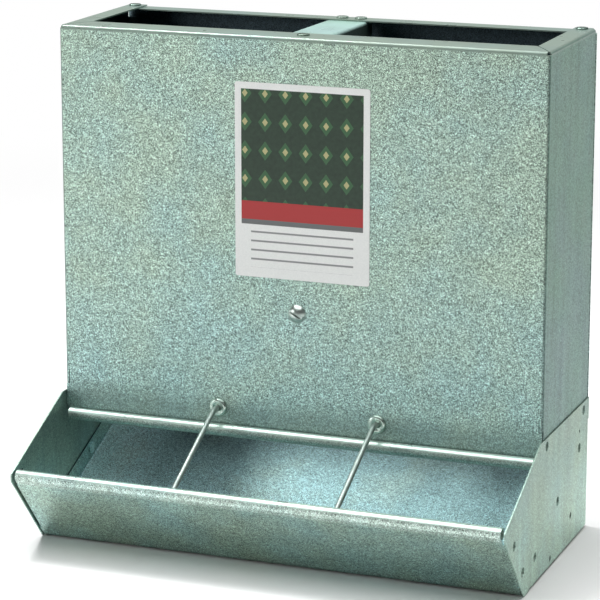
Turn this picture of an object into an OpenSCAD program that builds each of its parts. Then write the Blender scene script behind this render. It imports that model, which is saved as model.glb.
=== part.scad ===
// Hopper feeder for young pigs, folded from galvanised sheet steel.
// Millimetres, +Z up. The origin is at floor level, in the middle of the footprint.
// The front, with the trough, faces -Y. The back stands against the pen wall.

/* [Sheet] */
// Thickness of the galvanised sheet
sheet_t = 0.8; // [0.6:0.1:1]
// Inside radius of every fold
fold_r = 1.2; // [0.8:0.1:2]
// Gap left between two lapped sheets
lap_gap = 0.05; // [0.02:0.01:0.1]
// Length of the relief left where two folds meet
relief = 0.5; // [0.3:0.1:1]

/* [Hopper] */
// Width over the hopper's sides
hopper_w = 305; // [260:1:360]
// Depth from the hopper's front face to the back face
hopper_d = 101; // [90:1:130]
// Height of the rim above the floor
rim_h = 310; // [290:1:380]
// Width of the rim folded inwards along the front
front_rim = 20; // [16:1:26]
// Width of the rim folded inwards along the sides
side_rim = 13; // [12:1:18]
// Width of the rim folded inwards along the back
back_rim = 14; // [13:1:18]
// Width of the seam flanges folded behind the sides
seam_flange = 15; // [13:1:20]
// Drop from the rim to the top of the seam flanges
seam_drop = 8; // [5:1:15]
// Outside diameter of the bead curled along the foot of the front
bead_d = 7.5; // [6:0.5:9]
// How far round the bead is curled, in degrees
bead_turn = 300; // [270:5:310]
// How far the bead stops short of each side
bead_inset = 4; // [3:0.5:8]
// Height of the feed throat, from the floor pan to the bead
throat_h = 49.5; // [42:0.5:55]
// Height from the end plates' top edges to the foot of the front corner folds
corner_rise = 5; // [3:0.5:8]
// Width of the slit that ends each front corner fold
slit_w = 0.6; // [0.4:0.1:1.2]
// Length of the slit that ends each front corner fold
slit_h = 8; // [5:1:12]

/* [Top brace] */
// Width of the strap across the mouth
brace_w = 25; // [20:1:32]
// Depth of the stiffening leg folded down along the strap
brace_leg = 9; // [6:1:14]
// Gap between the strap's ends and the front and back walls
brace_end_gap = 4; // [3:0.5:6]
// Spacing of the two joints at the strap's back end
brace_pitch = 12; // [9:1:14]

/* [Trough] */
// How far the end plates' noses stand out in front of the hopper
trough_reach = 76; // [66:1:90]
// How far the trough's lowest corner stands out in front of the hopper
toe_reach = 36; // [30:1:44]
// Height of the lower corner of each nose
nose_low = 46; // [42:0.5:49]
// Height of the upper corner of each nose
nose_high = 50.5; // [49.5:0.5:56]
// How far the end plates' top edges stand out in front of the hopper
brow = 5; // [3:0.5:8]
// Overlap of the end plates on the hopper's sides
side_lap = 11; // [10:0.5:16]
// Gap between the pan's end flanges and the sides above them
side_clear = 3; // [1.5:0.1:6]
// Slope of the floor pan, in degrees
floor_angle = 22.5; // [20:0.5:26]
// Height of the pan's lowest corner above the floor
pan_lift = 0.4; // [0.2:0.1:1]
// Distance of the pan's lowest corner behind the end plates' toes
pan_set_back = 0.6; // [0.3:0.1:2]
// Width of the flanges turned up at the pan's ends and back
pan_flange = 12; // [11:0.5:15]
// Outside diameter of the bead curled inwards along the lip
lip_d = 7.5; // [6.5:0.5:9]
// How far round the lip's bead is curled, in degrees
lip_turn = 290; // [270:5:300]
// Distance of the lip behind the noses
lip_set_back = 0.2; // [0:0.1:2]
// Height of the lip above the noses
lip_rise = 2.1; // [1:0.1:4]
// Width of the flanges turned in under and behind the end plates
foot_flange = 12; // [10:0.5:18]
// Distance of the foot flange behind the toe
foot_start = 10; // [8:1:20]

/* [Clinch joints] */
// Radius of the punched recess at the sheet's face
punch_r = 3; // [2.3:0.1:3.2]
// Taper of the recess, on the radius
punch_taper = 0.5; // [0.2:0.1:0.8]
// Depth of the punched recess
punch_depth = 1.9; // [1.6:0.1:2.2]
// Thickness of the drawn wall and floor
drawn_t = 0.35; // [0.3:0.05:0.5]
// Clearance between the two nested cups
cup_gap = 0.05; // [0.03:0.01:0.1]
// Width of the eased edge round the outer cup
cup_edge = 0.3; // [0.1:0.05:0.5]
// Depth of the dish in the end of the outer cup
dish_depth = 0.15; // [0.05:0.05:0.2]
// Distance of the first joint from the pan's lowest corner
first_joint = 25.5; // [22:0.5:35]
// Spacing of the joints along the floor pan's ends
joint_pitch = 51; // [40:1:60]
// Height of the joints above the pan
joint_rise = 7; // [6.5:0.1:7.5]
// Distance of the upper front joints from the end of the panel's flanges
lip_joint = 13; // [8:0.5:16]
// Distance of the side joints below the end plates' top edges
joint_drop = 5; // [4.5:0.1:6]
// Distance of the front side joints behind the hopper's front
front_joint = 7; // [6.5:0.1:12]
// Distance of the back side joints in front of the hopper's back
back_joint = 13; // [10:0.5:20]
// Joints down each back seam
seam_joints = 3; // [2:1:5]
// Spacing of the joints between the floor pan and the back
back_pitch = 100; // [60:1:110]
// Radius of the press marks in the end plates
mark_r = 2; // [1:0.1:2.4]
// Depth of the press marks in the end plates
mark_depth = 0.4; // [0.2:0.05:0.5]
// Distance of the press marks below the floor pan
mark_drop = 16; // [12:0.5:18]
// How much further forward and down the rear press mark stands
mark_step = 5; // [0:0.5:8]
// Distance of the upper press mark above the floor pan
mark_rise = 17; // [15:0.5:20]

/* [Divider rods] */
// Diameter of the rods that divide the trough into bays
rod_d = 3.2; // [2.5:0.1:4]
// Height of the rods' holes above the bead's centre
rod_rise = 13; // [11:0.5:18]
// Length of rod straight out of the front, up to its fold
rod_stub = 7; // [6:0.5:12]
// Radius of the rod's fold, at its middle
rod_fold_r = 6; // [4.5:0.5:7]
// Length of rod inside the hopper
rod_tail = 7.5; // [7:0.5:12]
// Clearance round the rods in the sheet
rod_gap = 0.2; // [0.1:0.05:0.4]
// Diameter of the domed push nuts on the rods
push_nut_d = 11.7; // [10:0.1:14]
// Height of the push nuts' domes
push_nut_h = 1.8; // [1.4:0.1:2.5]
// Thickness of the push nuts
push_nut_t = 0.6; // [0.4:0.1:0.8]

/* [Feed gate] */
// Height of the gate screw above the floor
screw_h = 145; // [130:1:170]
// Diameter of the gate screw
screw_d = 6; // [5:0.1:7]
// Diameter of the screw's head
head_d = 11.5; // [10.5:0.1:13]
// Height of the screw's domed head
head_h = 3.4; // [2.5:0.1:4]
// Width of the driver slot
driver_w = 1.5; // [1:0.1:2]
// Depth of the driver slot
driver_depth = 1.7; // [1:0.1:2]
// Turn of the driver slot from level, in degrees
driver_turn = 27; // [0:1:90]
// Length of screw left beyond the wing nut
screw_spare = 3; // [1:0.5:8]
// Gap in front of and behind the gate
slide_gap = 0.25; // [0.15:0.05:0.4]
// Gap between the gate's ends and the hopper's sides
gate_end_gap = 3.7; // [3:0.1:6]
// Gap left under the gate when it is right down
shut_gap = 5; // [3:0.5:12]
// Distance of the gate's raised edge below the bead's centre
gate_dip = 2; // [0:0.1:3]
// Clearance on each side of the gate's slots
slot_gap = 0.8; // [0.4:0.1:1.5]
// Width of the pull folded along the gate's top
gate_pull = 9; // [7:0.5:14]
// Height of the gate's top above the wing nut's reach when the gate is down
pull_gap = 10; // [6:1:20]
// Diameter of the washer behind the gate
washer_d = 16; // [14:0.5:20]
// Thickness of the washer behind the gate
washer_t = 1.2; // [0.8:0.1:1.6]
// Gap between the washer and the wing nut
turn_gap = 0.3; // [0.2:0.05:0.5]
// Running clearance of the wing nut on the screw, on the radius
nut_gap = 0.08; // [0.05:0.01:0.1]
// Diameter of the wing nut's hub
nut_d = 12; // [11:0.5:14]
// Height of the wing nut's hub
nut_h = 6.5; // [5:0.5:9]
// Taper of the wing nut's hub, on the radius
nut_taper = 1; // [0:0.1:2]
// Distance from the wing nut's axis to the end of each wing
wing_reach = 15.5; // [14:0.5:18]
// Radius of the wings' round ends
wing_r = 4; // [3.5:0.1:5]
// Thickness of the wings
wing_t = 2.2; // [1.6:0.1:3]

/* [Wall holes] */
// Diameter of the holes for hanging the feeder on a wall
wall_hole_d = 7; // [5:0.5:9]
// Spacing of the wall holes
wall_pitch = 203; // [120:1:220]
// Distance of the wall holes below the rim
wall_drop = 45; // [35:1:60]

/* [Label] */
// Width of the label on the hopper's front
label_w = 84.5; // [60:0.5:120]
// Height of the label's foot above the gate screw's middle
label_rise = 20.5; // [14:0.5:40]
// Thickness of the label
label_t = 0.25; // [0.15:0.05:0.4]
// Sideways place of the label's middle
label_x = 3.4; // [-30:0.1:30]
// Distance of the label's top below the rim
label_drop = 27.5; // [20:0.5:40]
// Radius of the label's corners
label_r = 1.5; // [0.5:0.1:4]

/* [Hidden] */

$fn = 48;
// Straight steps in a fold and in a full turn of the bead
fold_steps = 8;
bead_steps = 48;
// How far a cut runs past what it cuts, and how far joined pieces of one sheet overlap
past = 1;
weld = 1;
// Thinning of the sheet in folds that run across another fold
thinning = 0.04;

// Folds, at the middle of the sheet
half_t = sheet_t / 2;
mid_r = fold_r + half_t;
fold_out = fold_r + sheet_t;

// Main planes
half_w = hopper_w / 2;
total_d = hopper_d + trough_reach;
back_y = total_d / 2;
front_y = back_y - hopper_d;
nose_y = -total_d / 2;
toe_y = front_y - toe_reach;
back_inner_y = back_y - sheet_t;
lap_y = back_inner_y - lap_gap;
plate_x = half_w + lap_gap;
plate_mid_x = plate_x + half_t;

// Floor pan, along the middle of its sheet
corner = [toe_y + pan_set_back, pan_lift + half_t];
floor_dir = [cos(floor_angle), sin(floor_angle)];
floor_end_y = lap_y - half_t;
floor_end = corner + floor_dir * (floor_end_y - corner[0]) / floor_dir[0];
lip_r = lip_d / 2;
lip_mid_r = lip_r - half_t;
lip_centre = [nose_y + lip_set_back + lip_r, nose_high + lip_rise - lip_r];
lip_away = norm(lip_centre - corner);
panel_angle = atan2(lip_centre[1] - corner[1], corner[0] - lip_centre[0]) - asin(lip_mid_r / lip_away);
panel_dir = [-cos(panel_angle), sin(panel_angle)];
panel_len = sqrt(lip_away * lip_away - lip_mid_r * lip_mid_r);
pan_x = half_w - half_t;
pan_flat_x = pan_x - mid_r;
corner_half = (180 - panel_angle - floor_angle) / 2;
flange_start = pan_flange / tan(corner_half) + relief;
floor_flange_end = (lap_y - fold_out - relief - corner[0]) / floor_dir[0];
panel_flange_end = panel_len - lip_r - 3 * relief;
pan_back_x = half_w - foot_flange - fold_out;
flange_top = floor_end[1] + pan_flange;

// Hopper levels
side_foot = flange_top + side_clear;
plate_h = side_foot + side_lap;
corner_foot = plate_h + corner_rise;
wall_top = rim_h - fold_out;
seam_top = rim_h - seam_drop;
side_end_y = lap_y - fold_out;
back_rim_h = rim_h - sheet_t - lap_gap;
back_rim_x = half_w - fold_out - relief;

// Bead along the foot of the front
bead_r = bead_d / 2;
bead_y = front_y + sheet_t - bead_r;
floor_at_front = corner[1] + (front_y - corner[0]) * tan(floor_angle) + half_t / floor_dir[0];
bead_h = floor_at_front + throat_h + bead_r;
bead_x = half_w - bead_inset;

// Clinch joints, along the punch's way
punch_end = punch_depth + drawn_t;
button_r = punch_r + drawn_t;
socket_r = button_r + cup_gap;
socket_end = punch_end + cup_gap;
cup_r = socket_r + drawn_t;
cup_end = socket_end + drawn_t;
die_face = sheet_t + lap_gap;

// Divider rods, in three equal bays
rod_x = hopper_w / 6;
rod_r = rod_d / 2;
rod_h = bead_h + rod_rise;
rod_hole_r = rod_r + rod_gap;
rod_fold = [front_y - rod_stub, rod_h];
rod_dir = (lip_centre - rod_fold) / norm(lip_centre - rod_fold);
rod_foot = lip_centre - rod_dir * lip_mid_r;
rod_drop = atan2(-rod_dir[1], -rod_dir[0]);
rod_trim = rod_fold_r * tan(rod_drop / 2);
rod_reach = lip_mid_r;
rod_bore_r = rod_r + cup_gap;

// Feed gate and its screw
gate_front = front_y + sheet_t + slide_gap;
gate_y = gate_front + half_t;
gate_back = gate_front + sheet_t;
gate_x = half_w - gate_end_gap - sheet_t;
gate_low = bead_h - gate_dip;
floor_at_gate = floor_at_front + (gate_back - front_y) * tan(floor_angle);
gate_travel = gate_low - floor_at_gate - shut_gap;
gate_top = screw_h + gate_travel + wing_reach + pull_gap;
screw_r = screw_d / 2;
screw_hole_r = screw_r + rod_gap;
washer_y = gate_back + slide_gap;
nut_y = washer_y + washer_t + turn_gap;
screw_end = nut_y + nut_h + screw_spare;
head_ball_r = (head_d * head_d / 4 + head_h * head_h) / (2 * head_h);

// Label, from the screw up to the rim
label_foot = screw_h + label_rise;
label_h = rim_h - label_drop - label_foot;

zinc = [0.62, 0.68, 0.66];
bright_zinc = [0.74, 0.77, 0.76];
label_green = [0.16, 0.30, 0.20];

// Unit direction from p to q
function heading(p, q) = (q - p) / norm(q - p);

// Turn from direction a to direction b, in degrees, positive to the left
function turn(a, b) = atan2(a[0] * b[1] - a[1] * b[0], a[0] * b[0] + a[1] * b[1]);

// Turn of a path at its point i
function turn_at(path, i) = turn(heading(path[i - 1], path[i]), heading(path[i], path[i + 1]));

// Distance from a path's corner i to the start of its fold
function set_back(path, i, radius) =
    i == 0 || i == len(path) - 1 ? 0 : radius * tan(abs(turn_at(path, i)) / 2);

// A list from its end to its start
function reversed(list) = [for (i = [len(list) - 1 : -1 : 0]) list[i]];

// A list without its first entry
function rest(list) = [for (i = [1 : len(list) - 1]) list[i]];

// Points round a circle, from one angle to another
function arc(centre, radius, from, to, steps) =
    [for (k = [0 : steps]) let (a = from + (to - from) * k / steps) centre + radius * [cos(a), sin(a)]];

// Points round a path's fold i, at a distance to the left of the sheet's middle
function fold_points(path, i, radius, left) =
    let (run = heading(path[i - 1], path[i]), angle = turn_at(path, i))
    let (start = path[i] - run * set_back(path, i, radius))
    let (spoke = [run[1], -run[0]] * sign(angle), from = atan2(spoke[1], spoke[0]))
    arc(start - spoke * radius, radius - sign(angle) * left, from, from + angle, fold_steps);

// One edge of a folded sheet, at a distance to the left of its middle
function edge_points(path, radius, left) =
    let (last = len(path) - 1)
    let (first_run = heading(path[0], path[1]), last_run = heading(path[last - 1], path[last]))
    concat([path[0] + left * [-first_run[1], first_run[0]]],
        [for (i = [1 : last - 1]) each fold_points(path, i, radius, left)],
        [path[last] + left * [-last_run[1], last_run[0]]]);

// Sheet seen on edge, along the straight runs and round folds of a path
module folded(path, radius = mid_r, thick = sheet_t) {
    left = edge_points(path, radius, thick / 2);
    right = edge_points(path, radius, -thick / 2);
    polygon(concat(left, reversed(right)));
}

// Foot of the front seen on edge, as (y, z): straight down, then curled forwards into the bead
module bead_outline(top) {
    centre = [bead_y, bead_h];
    steps = ceil(bead_steps * bead_turn / 360);
    polygon(concat([[front_y + sheet_t, top]],
        arc(centre, bead_r, 0, -bead_turn, steps),
        arc(centre, bead_r - sheet_t, -bead_turn, 0, steps),
        [[front_y, top]]));
}

// Pan seen on edge, as (y, z): bead curled inwards, front panel, lowest corner, floor and back flange
module pan_outline() {
    path = [corner + panel_dir * panel_len, corner, floor_end, floor_end + [0, pan_flange]];
    start = 270 - panel_angle;
    steps = ceil(bead_steps * lip_turn / 360);
    polygon(concat(arc(lip_centre, lip_r, start - lip_turn, start, steps),
        rest(edge_points(path, mid_r, -half_t)),
        reversed(rest(edge_points(path, mid_r, half_t))),
        arc(lip_centre, lip_r - sheet_t, start, start - lip_turn, steps)));
}

// Carries a (y, z) outline along X, from x0 to x1
module along_x(x0, x1) {
    translate([x0, 0, 0]) rotate([90, 0, 90]) linear_extrude(x1 - x0) children();
}

// Carries an (x, z) outline along Y, from y0 to y1
module along_y(y0, y1) {
    translate([0, y1, 0]) rotate([90, 0, 0]) linear_extrude(y1 - y0) children();
}

// Carries an (x, y) outline along Z, from z0 to z1
module along_z(z0, z1) {
    translate([0, 0, z0]) linear_extrude(z1 - z0) children();
}

// Box between two corners
module block(low, high) {
    translate(low) cube(high - low);
}

// The same thing on the right and, mirrored, on the left
module both_sides() {
    children();
    mirror([1, 0, 0]) children();
}

// Round bar along Y, from y0 to y1
module round_y(x, z, radius, y0, y1) {
    translate([x, y0, z]) rotate([-90, 0, 0]) cylinder(r = radius, h = y1 - y0);
}

// Clinch joint, along +Z from the punched sheet's face: the button drawn out of the punched sheet
module button() {
    translate([0, 0, half_t]) cylinder(r = button_r, h = punch_end - half_t);
}

// The recess that the punch leaves in the button
module recess() {
    cylinder(r1 = punch_r, r2 = punch_r - punch_taper, h = punch_depth);
    translate([0, 0, -past]) cylinder(r = punch_r, h = past);
}

// The cup drawn out of the other sheet, round the button
module cup() {
    start = die_face + half_t;
    edge = cup_end - cup_edge;
    difference() {
        union() {
            translate([0, 0, start]) cylinder(r = cup_r, h = edge - start);
            translate([0, 0, edge]) cylinder(r1 = cup_r, r2 = cup_r - cup_edge, h = cup_edge);
        }
        translate([0, 0, cup_end - dish_depth]) cylinder(r = punch_r - cup_edge, h = past);
    }
}

// The room for the button inside the cup
module socket() {
    translate([0, 0, sheet_t]) cylinder(r = socket_r, h = socket_end - sheet_t);
}

// Places of the joints between the right end plate and the hopper's side
module at_side_joints() {
    for (y = [front_y + front_joint, back_y - back_joint])
        translate([plate_x + sheet_t, y, plate_h - joint_drop]) rotate([0, -90, 0]) children();
}

// Frame of the floor pan: Y runs up the floor from the lowest corner, Z stands on it
module on_floor() {
    translate([0, corner[0], corner[1]]) rotate([floor_angle, 0, 0]) children();
}

// Frame of the trough's front panel: Y runs up the panel from the lowest corner, Z points inwards
module on_panel() {
    translate([0, corner[0], corner[1]])
        rotate([180 - panel_angle, 0, 0])
            mirror([0, 0, 1]) children();
}

// Places of the joints between the right end plate and the pan's end flanges
module at_pan_joints() {
    on_floor()
        for (run = [first_joint : joint_pitch : floor_flange_end - cup_r - relief])
            translate([plate_x + sheet_t, run, joint_rise]) rotate([0, -90, 0]) children();
    on_panel()
        for (run = [flange_start + cup_r + 2 * relief, panel_flange_end - lip_joint])
            translate([plate_x + sheet_t, run, joint_rise]) rotate([0, -90, 0]) children();
}

// Shallow marks that the press leaves in the right end plate's outer face
module press_marks() {
    on_floor()
        for (mark = [[2 * first_joint, -mark_drop, mark_r],
                [2 * first_joint + joint_pitch - mark_step, -mark_drop - mark_step, mark_r],
                [first_joint + 2 * joint_pitch + cup_r, mark_rise, mark_r / 2]])
            translate([plate_x + sheet_t - mark_depth, mark[0], mark[1]])
                rotate([0, 90, 0]) cylinder(r = mark[2], h = mark_depth + past);
}

// Places of the joints down the right back seam
module at_seam_joints() {
    x = half_w - (seam_flange + fold_out) / 2;
    low = side_foot + seam_flange;
    pitch = (seam_top - seam_flange - low) / (seam_joints - 1);
    for (k = [0 : seam_joints - 1])
        translate([x, back_y, low + pitch * k]) rotate([90, 0, 0]) children();
}

// Place of the joint between the back and the right end plate's back flange
module at_heel_joint() {
    x = plate_x - (foot_flange + fold_r) / 2;
    translate([x, back_y, floor_end[1] / 2]) rotate([90, 0, 0]) children();
}

// Places of the joints between the back and the pan's back flange
module at_pan_back_joints() {
    for (x = [-back_pitch, 0, back_pitch])
        translate([x, back_y, floor_end[1] + joint_rise]) rotate([90, 0, 0]) children();
}

// Place of the joint at the rim's right back corner, punched from below
module at_rim_joint() {
    x = half_w - (side_rim + fold_out) / 2;
    translate([x, back_y - back_rim / 2, back_rim_h - sheet_t]) children();
}

// Place of the joint at the brace's front end, punched from below
module at_brace_front_joint() {
    translate([0, front_y + (front_rim + fold_out) / 2, rim_h - sheet_t - die_face]) children();
}

// Places of the joints at the brace's back end, punched from below
module at_brace_back_joints() {
    for (x = [-brace_pitch / 2, brace_pitch / 2])
        translate([x, back_y - back_rim / 2, back_rim_h - sheet_t - die_face]) children();
}

// Flat of the front rim, cut to a mitre at both ends
module front_rim_flat() {
    y0 = front_y + fold_out;
    y1 = front_y + front_rim;
    x0 = half_w - fold_out * side_rim / front_rim - relief;
    x1 = half_w - side_rim - relief;
    along_z(rim_h - sheet_t, rim_h) polygon([[-x0, y0], [x0, y0], [x1, y1], [-x1, y1]]);
}

// Flat of the right side rim, cut to a mitre in front and lying over the back rim
module side_rim_flat() {
    x0 = half_w - fold_out;
    x1 = half_w - side_rim;
    y0 = front_y + fold_out * front_rim / side_rim + relief;
    y1 = front_y + front_rim + relief;
    y2 = back_inner_y;
    along_z(rim_h - sheet_t, rim_h) polygon([[x0, y0], [x1, y1], [x1, y2], [x0, y2]]);
}

// Front and sides, folded from one sheet with a rim, back seam flanges and a curled foot
module hopper_sheet() {
    wall_x = half_w - half_t;
    wall_y = front_y + half_t;
    seam_y = lap_y - half_t;
    seam_x = half_w - seam_flange;
    rim_z = rim_h - half_t;
    tab_x = half_w - relief;
    difference() {
        along_z(side_foot, wall_top)
            folded([[-seam_x, seam_y], [-wall_x, seam_y], [-wall_x, wall_y],
                [wall_x, wall_y], [wall_x, seam_y], [seam_x, seam_y]]);
        both_sides() {
            block([half_w - fold_out, front_y - past, side_foot - past],
                [half_w + past, front_y + fold_out, corner_foot]);
            block([seam_x - past, side_end_y, seam_top], [half_w + past, back_y, rim_h]);
        }
    }
    block([-tab_x, front_y, bead_h + bead_r + relief], [tab_x, front_y + sheet_t, corner_foot - relief]);
    along_x(-bead_x, bead_x) bead_outline(side_foot + weld);
    along_x(-half_w + fold_out, half_w - fold_out)
        folded([[wall_y, wall_top - weld], [wall_y, rim_z], [front_y + fold_out + weld, rim_z]]);
    front_rim_flat();
    both_sides() {
        along_y(front_y + fold_out + relief, side_end_y)
            folded([[wall_x, wall_top - weld], [wall_x, rim_z], [half_w - fold_out - weld, rim_z]]);
        side_rim_flat();
    }
}

module hopper_shell() {
    slit_x = half_w - fold_out - slit_w;
    color(zinc)
        difference() {
            union() {
                hopper_sheet();
                at_brace_front_joint() cup();
                both_sides() {
                    at_side_joints() cup();
                    at_seam_joints() cup();
                    at_rim_joint() cup();
                }
            }
            at_brace_front_joint() socket();
            both_sides() {
                at_side_joints() socket();
                at_seam_joints() socket();
                at_rim_joint() socket();
                block([slit_x, front_y - past, corner_foot - relief],
                    [slit_x + slit_w, front_y + fold_out, corner_foot + slit_h]);
                round_y(rod_x, rod_h, rod_hole_r, front_y - past, front_y + sheet_t + past);
            }
            round_y(0, screw_h, screw_hole_r, front_y - past, front_y + sheet_t + past);
        }
}

// Back wall, folded forwards into a rim at the top and a foot at the bottom
module back_sheet() {
    wall_y = back_y - half_t;
    rim_z = back_rim_h - half_t;
    foot_x = half_w - foot_flange - fold_out;
    block([-half_w, back_inner_y, fold_out], [half_w, back_y, back_rim_h - fold_out]);
    along_x(-back_rim_x, back_rim_x)
        folded([[wall_y, back_rim_h - fold_out - weld], [wall_y, rim_z], [back_y - back_rim, rim_z]]);
    along_x(-foot_x, foot_x)
        folded([[wall_y, fold_out + weld], [wall_y, half_t], [back_y - foot_flange, half_t]]);
}

module hopper_back() {
    hole_h = rim_h - wall_drop;
    color(zinc)
        difference() {
            union() {
                back_sheet();
                at_pan_back_joints() button();
                at_brace_back_joints() cup();
                both_sides() {
                    at_seam_joints() button();
                    at_heel_joint() button();
                    at_rim_joint() button();
                }
            }
            at_pan_back_joints() recess();
            at_brace_back_joints() socket();
            both_sides() {
                at_seam_joints() recess();
                at_heel_joint() recess();
                at_rim_joint() recess();
                round_y(wall_pitch / 2, hole_h, wall_hole_d / 2, back_inner_y - past, back_y + past);
            }
        }
}

// Strap across the mouth, with one edge folded down, tilted to meet both rims from below
module top_brace() {
    front_end = front_y + fold_out + brace_end_gap;
    back_end = back_inner_y - brace_end_gap;
    strap_z = back_rim_h - sheet_t - lap_gap - half_t;
    tilt = asin(die_face / (hopper_d - (front_rim + fold_out + back_rim) / 2));
    tilt_drop = sin(tilt) * back_rim / 2;
    leg_x = brace_w / 2 - half_t;
    color(zinc)
        difference() {
            union() {
                translate([0, back_y - back_rim / 2, strap_z - tilt_drop])
                    rotate([-tilt, 0, 0])
                        along_y(front_end - back_y + back_rim / 2, back_end - back_y + back_rim / 2)
                            folded([[-brace_w / 2, 0], [leg_x, 0], [leg_x, -brace_leg]]);
                at_brace_front_joint() button();
                at_brace_back_joints() button();
            }
            at_brace_front_joint() recess();
            at_brace_back_joints() recess();
        }
}

// Outline of an end plate, as (y, z)
module end_outline() {
    polygon([[toe_y, 0], [lap_y, 0], [lap_y, plate_h], [front_y - brow, plate_h],
        [nose_y, nose_high], [nose_y, nose_low]]);
}

// Right end plate, with a foot turned in at the bottom and a flange turned in at the back
module end_plate() {
    foot_y = toe_y + foot_start;
    heel_y = lap_y - fold_out;
    heel_low = fold_out + relief;
    heel_top = flange_top;
    in_x = plate_x - foot_flange;
    out_x = plate_x + past;
    out_y = lap_y + past;
    difference() {
        union() {
            difference() {
                along_x(plate_x, plate_x + sheet_t) end_outline();
                block([plate_x - past, foot_y - relief, -past], [out_x, out_y, fold_out]);
                block([plate_x - past, heel_y, -past], [out_x, out_y, heel_top + relief]);
            }
            along_y(foot_y, heel_y - relief)
                folded([[plate_mid_x, fold_out + weld], [plate_mid_x, half_t], [in_x, half_t]]);
            along_z(heel_low, heel_top)
                folded([[plate_mid_x, heel_y - weld], [plate_mid_x, floor_end_y], [in_x, floor_end_y]]);
            at_side_joints() button();
            at_pan_joints() button();
            at_heel_joint() cup();
        }
        at_side_joints() recess();
        at_pan_joints() recess();
        at_heel_joint() socket();
        press_marks();
    }
}

module left_end_plate() {
    color(zinc) mirror([1, 0, 0]) end_plate();
}

module right_end_plate() {
    color(zinc) end_plate();
}

// Flange turned up at the right end of a flat sheet, from one distance along it to another
module pan_end_flange(start, stop) {
    along_y(start, stop)
        folded([[pan_flat_x - weld, 0], [pan_x, 0], [pan_x, pan_flange]], thick = sheet_t - thinning);
}

// Trough and hopper floor in one sheet, with flanges turned up at its ends
module pan_sheet() {
    ear = flange_start - relief;
    ears = [corner + panel_dir * ear, corner, corner + floor_dir * ear];
    difference() {
        along_x(-pan_flat_x, pan_flat_x) pan_outline();
        both_sides()
            block([pan_back_x, lap_y - fold_out, floor_end[1] - pan_flange], [half_w + past, back_y, side_foot]);
    }
    both_sides() {
        along_x(pan_flat_x - weld, half_w - relief)
            folded(ears, thick = sheet_t - thinning);
        on_floor() pan_end_flange(flange_start, floor_flange_end);
        on_panel() pan_end_flange(flange_start, panel_flange_end);
    }
}

module trough_pan() {
    color(zinc)
        difference() {
            union() {
                pan_sheet();
                at_pan_back_joints() cup();
                both_sides() at_pan_joints() cup();
            }
            at_pan_back_joints() socket();
            both_sides() {
                at_pan_joints() socket();
                rod_line(rod_hole_r, -rod_d, rod_reach);
            }
        }
}

// Round bar along the right rod's sloping run, from a distance before the lip to one beyond it
module rod_line(radius, before, beyond) {
    translate([rod_x, rod_foot[0], rod_foot[1]])
        rotate([90 + rod_drop, 0, 0])
            translate([0, 0, before])
                cylinder(r = radius, h = beyond - before);
}

// Right divider rod: straight out of the front, folded down, and into the lip's bead
module divider_rod() {
    run = norm(rod_foot - rod_fold) - rod_trim;
    overlap = atan(weld / rod_fold_r) / 2;
    color(bright_zinc) {
        round_y(rod_x, rod_h, rod_r, rod_fold[0] + rod_trim, front_y + rod_tail);
        translate([rod_x, rod_fold[0] + rod_trim, rod_h - rod_fold_r])
            rotate([90, 0, 90])
                rotate(90 - overlap)
                    rotate_extrude(angle = rod_drop + 2 * overlap)
                        translate([rod_fold_r, 0]) circle(rod_r - thinning);
        rod_line(rod_r, -run, rod_reach);
    }
}

module left_divider_rod() {
    mirror([1, 0, 0]) divider_rod();
}

module right_divider_rod() {
    divider_rod();
}

// Domed push nut round a rod, along +Z from the face it sits on
module push_nut() {
    ball_r = (push_nut_d * push_nut_d / 4 + push_nut_h * push_nut_h) / (2 * push_nut_h);
    color(bright_zinc)
        rotate_extrude()
            intersection() {
                translate([0, push_nut_h - ball_r])
                    difference() {
                        circle(ball_r);
                        circle(ball_r - push_nut_t);
                    }
                translate([rod_bore_r, 0]) square([push_nut_d, push_nut_h + past]);
            }
}

module left_rod_push_nut() {
    translate([-rod_x, front_y - lap_gap, rod_h]) rotate([90, 0, 0]) push_nut();
}

module right_rod_push_nut() {
    translate([rod_x, front_y - lap_gap, rod_h]) rotate([90, 0, 0]) push_nut();
}

module left_rod_tail_nut() {
    translate([-rod_x, washer_y, rod_h]) rotate([-90, 0, 0]) push_nut();
}

module right_rod_tail_nut() {
    translate([rod_x, washer_y, rod_h]) rotate([-90, 0, 0]) push_nut();
}

// Upright slot through the gate, as long as the gate's travel above a fastener
module gate_slot(x, z, radius) {
    y0 = gate_front - past;
    y1 = gate_back + past;
    round_y(x, z, radius, y0, y1);
    round_y(x, z + gate_travel, radius, y0, y1);
    block([x - radius, y0, z], [x + radius, y1, z + gate_travel]);
}

// Plate that slides down behind the front to close the throat
module feed_gate() {
    color(zinc)
        difference() {
            along_x(-gate_x, gate_x)
                folded([[gate_y, gate_low], [gate_y, gate_top], [gate_front + gate_pull, gate_top]]);
            for (x = [-rod_x, rod_x]) gate_slot(x, rod_h, rod_r + slot_gap);
            gate_slot(0, screw_h, screw_r + slot_gap);
        }
}

// Round-headed slotted screw through the front and the gate
module gate_screw() {
    slot_low = head_h - driver_depth;
    color(bright_zinc) {
        round_y(0, screw_h, screw_r, front_y - lap_gap - head_h / 4, screw_end);
        translate([0, front_y - lap_gap, screw_h])
            rotate([90, 0, 0])
                difference() {
                    rotate_extrude()
                        intersection() {
                            translate([0, head_h - head_ball_r]) circle(head_ball_r);
                            square([head_d, head_h]);
                        }
                    rotate(-driver_turn)
                        block([-head_d, -driver_w / 2, slot_low], [head_d, driver_w / 2, head_h + past]);
                }
    }
}

module gate_washer() {
    color(bright_zinc)
        difference() {
            round_y(0, screw_h, washer_d / 2, washer_y, washer_y + washer_t);
            round_y(0, screw_h, screw_hole_r, washer_y - past, washer_y + washer_t + past);
        }
}

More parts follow.
